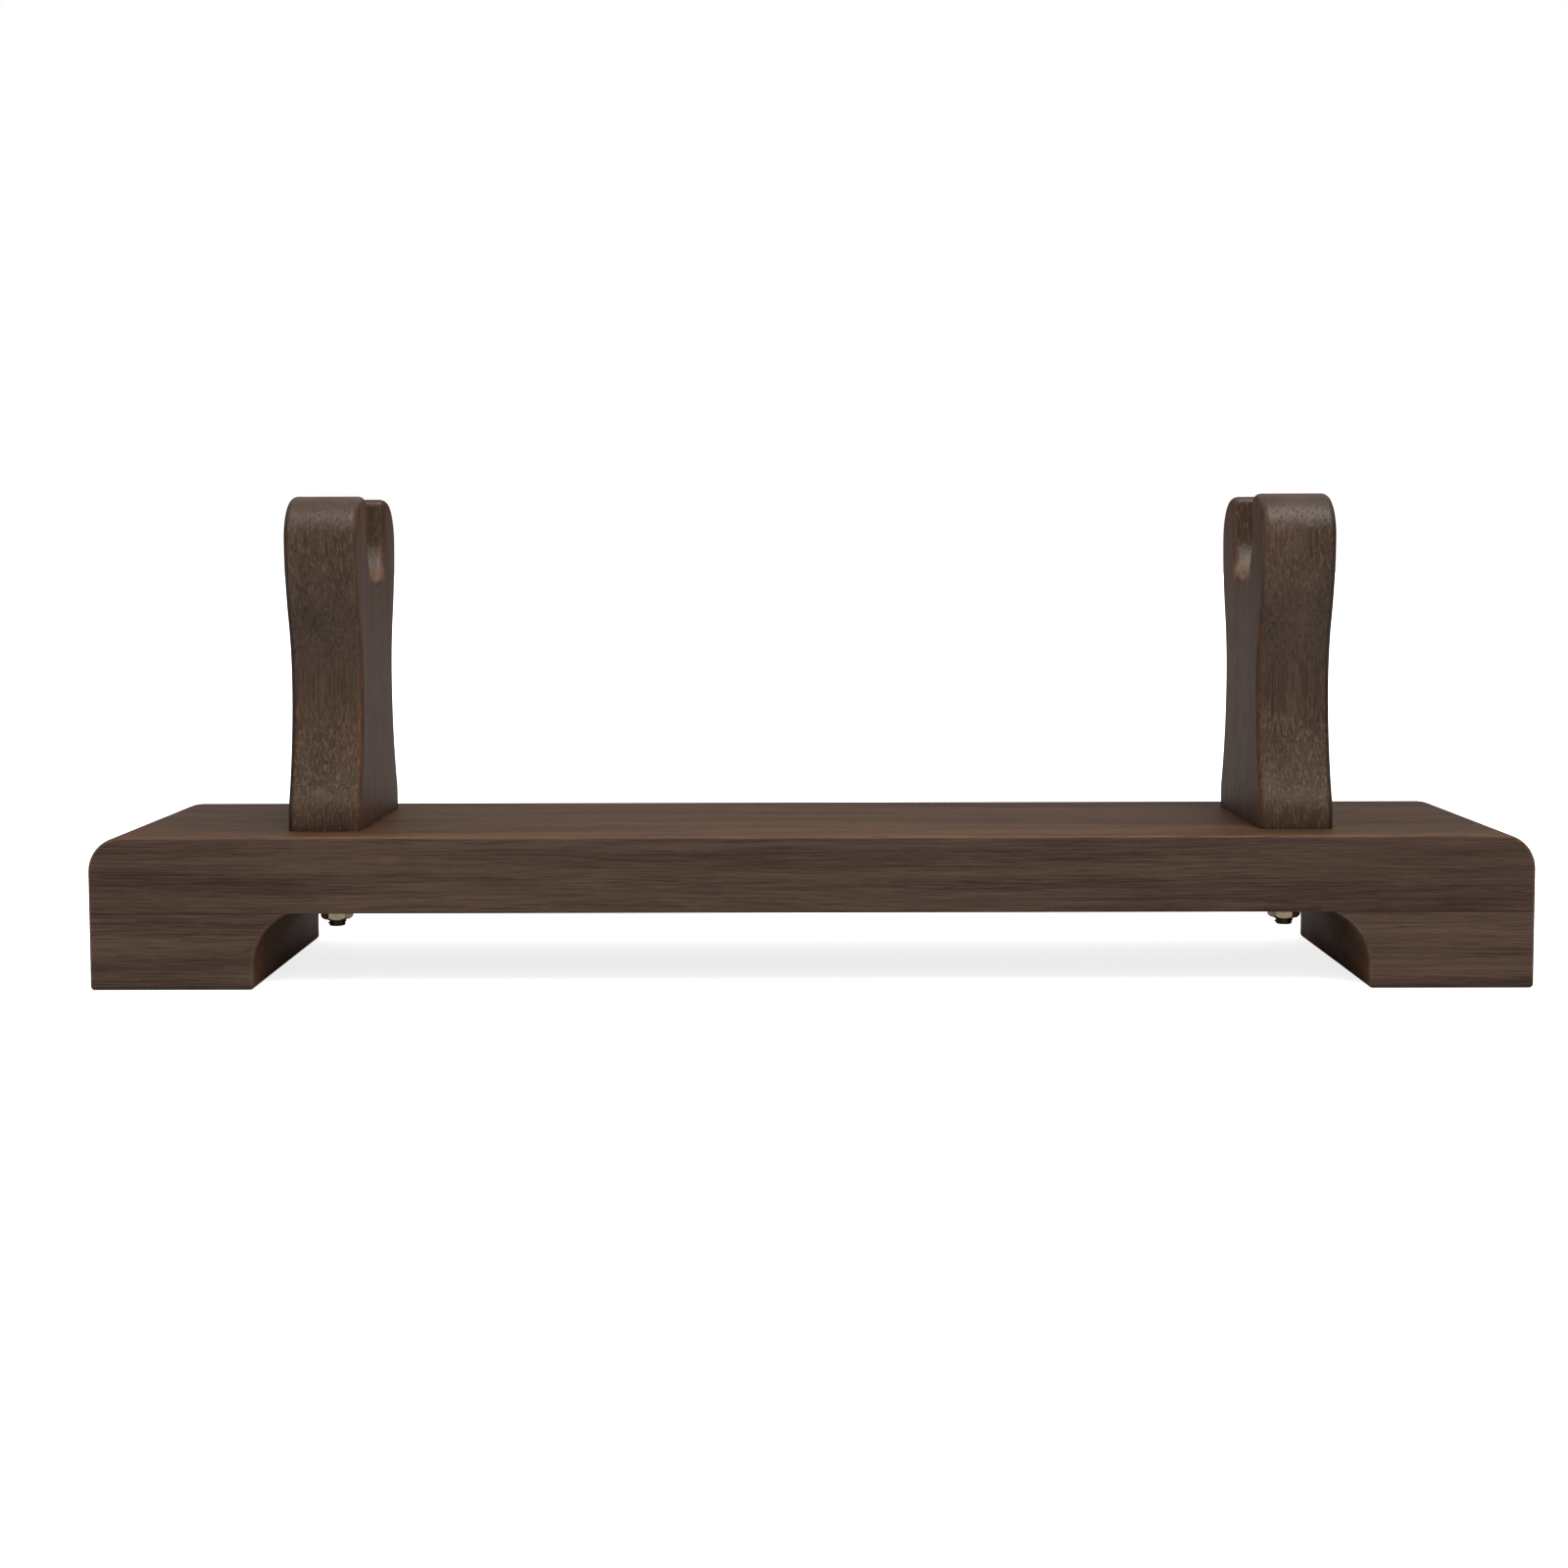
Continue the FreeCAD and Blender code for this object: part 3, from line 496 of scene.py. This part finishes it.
def make_nut(side):
    """A hexagon nut with its corners turned off, a countersunk mouth and a thread inside."""
    node = side + "_hex_nut"
    low, high = (Vector(corner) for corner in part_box(node))
    stud_low, stud_high = (Vector(corner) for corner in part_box(side + "_stud"))
    axis = (stud_low + stud_high) / 2
    bore = (stud_high.x - stud_low.x) / 2
    turn = NUT_TURN if side == "right" else -NUT_TURN
    reach = max(abs(math.cos(turn + i * math.pi / 3)) for i in range(6))
    flat = (high.x - low.x) / 2 / reach * math.sqrt(3) / 2

    def hexagon(angle):
        within = (angle - turn) % (math.pi / 3) - math.pi / 6
        return flat / math.cos(within)

    def drop(angle):
        return (hexagon(angle) - flat) * NUT_CHAMFER_SLOPE

    angles = [2 * math.pi * i / NUT_STEPS_ROUND for i in range(NUT_STEPS_ROUND)]

    def hexagon_ring(up, sign):
        ring = []
        for angle in angles:
            radius = hexagon(angle)
            ring.append((axis.x + radius * math.cos(angle), axis.y + radius * math.sin(angle),
                         up + sign * drop(angle)))
        return ring

    def circle(up, radius):
        return round_ring(axis, up, NUT_STEPS_ROUND, lambda angle: radius)

    face = flat * NUT_FACE_SHARE
    mouth = bore + BORE_CHAMFER * BORE_MOUTH_SHARE
    rings = [circle(low.z, mouth), circle(low.z, face), hexagon_ring(low.z, 1),
             hexagon_ring(high.z, -1), circle(high.z, face), circle(high.z, mouth)]
    inner_low = low.z + BORE_CHAMFER
    inner_high = high.z - BORE_CHAMFER
    count = round((inner_high - inner_low) / THREAD_PITCH * THREAD_ROWS_PER_TURN)
    for k in range(count + 1):
        up = inner_high + (inner_low - inner_high) * k / count

        def radius_at(angle):
            hollow = THREAD_DEPTH * (1 - thread_rise(up, angle)) * INNER_THREAD_SHARE
            return bore - hollow + INNER_THREAD_CLEARANCE

        rings.append(round_ring(axis, up, NUT_STEPS_ROUND, radius_at))
    add_piece(side + "_threaded_nut", ring_skin(rings, closed=True), gold_zinc, node)


for side_name in SIDES:
    make_stud(side_name)
    make_nut(side_name)


# ------------------------------------------------------------------------------------- light, floor, camera

def white_room():
    """A white surround for the eye; as a source of light it is bright overhead and dim near the horizon."""
    world = bpy.data.worlds.new("white_room")
    world.use_nodes = True
    tree = world.node_tree
    tree.nodes.clear()
    place = tree.nodes.new("ShaderNodeTexCoord")
    split = tree.nodes.new("ShaderNodeSeparateXYZ")
    tree.links.new(place.outputs["Generated"], split.inputs[0])
    height = tree.nodes.new("ShaderNodeMapRange")
    height.interpolation_type = "SMOOTHSTEP"
    for name, number in (("From Min", 0.10), ("From Max", 0.62), ("To Min", 0.04), ("To Max", 0.72)):
        height.inputs[name].default_value = number
    tree.links.new(split.outputs["Z"], height.inputs["Value"])
    light = tree.nodes.new("ShaderNodeBackground")
    tree.links.new(height.outputs[0], light.inputs["Strength"])
    seen = tree.nodes.new("ShaderNodeBackground")
    for background in (light, seen):
        background.inputs["Color"].default_value = (1.0, 1.0, 1.0, 1.0)
    path = tree.nodes.new("ShaderNodeLightPath")
    choose = tree.nodes.new("ShaderNodeMixShader")
    tree.links.new(path.outputs["Is Camera Ray"], choose.inputs[0])
    tree.links.new(light.outputs[0], choose.inputs[1])
    tree.links.new(seen.outputs[0], choose.inputs[2])
    output = tree.nodes.new("ShaderNodeOutputWorld")
    tree.links.new(choose.outputs[0], output.inputs["Surface"])
    bpy.context.scene.world = world
    bpy.context.scene.view_settings.view_transform = "Standard"


def key_light():
    """A broad soft light from high in front, a little to the right."""
    light = bpy.data.lights.new("key_light", "SUN")
    light.energy = 2.6
    light.angle = math.radians(36.0)
    thing = bpy.data.objects.new("key_light", light)
    bpy.context.scene.collection.objects.link(thing)
    thing.location = (0.28, -1.0, 2.1)
    thing.rotation_euler = (-Vector(thing.location)).to_track_quat("-Z", "Y").to_euler()


def floor():
    """A pale floor, bright to the eye even in shade, and dimmer in the sheen of the wood."""
    reach = 30.0
    mesh = bpy.data.meshes.new("floor")
    mesh.from_pydata([(-reach, -reach, 0), (reach, -reach, 0), (reach, reach, 0), (-reach, reach, 0)], [],
                     [(0, 1, 2, 3)])
    thing = bpy.data.objects.new("floor", mesh)
    bpy.context.scene.collection.objects.link(thing)
    paper = Nodes("pale_paper")
    path = paper.tree.nodes.new("ShaderNodeLightPath")
    paper.join(paper.mix(path.outputs["Is Glossy Ray"], (0.90, 0.90, 0.90), (0.30, 0.30, 0.30)),
               paper.shader.inputs["Base Color"])
    paper.shader.inputs["Emission Color"].default_value = (1.0, 1.0, 1.0, 1.0)
    glow = paper.total((path.outputs["Is Camera Ray"], 0.80), (path.outputs["Is Diffuse Ray"], 0.32))
    paper.join(glow, paper.shader.inputs["Emission Strength"])
    paper.shader.inputs["Roughness"].default_value = 0.95
    paper.shader.inputs["Specular IOR Level"].default_value = 0.1
    mesh.materials.append(paper.material)


def camera():
    """A view of the front from the height of the notches, tilted a little down."""
    data = bpy.data.cameras.new("front_camera")
    data.sensor_width = 36.0
    data.lens = 49.5
    data.shift_y = -0.053
    data.clip_start = 0.01
    thing = bpy.data.objects.new("front_camera", data)
    bpy.context.scene.collection.objects.link(thing)
    thing.location = (-0.0055, -1.1066, 0.2078)
    thing.rotation_euler = (math.radians(90 - 3.74), math.radians(0.178), math.radians(0.37))
    bpy.context.scene.camera = thing


white_room()
key_light()
floor()
camera()
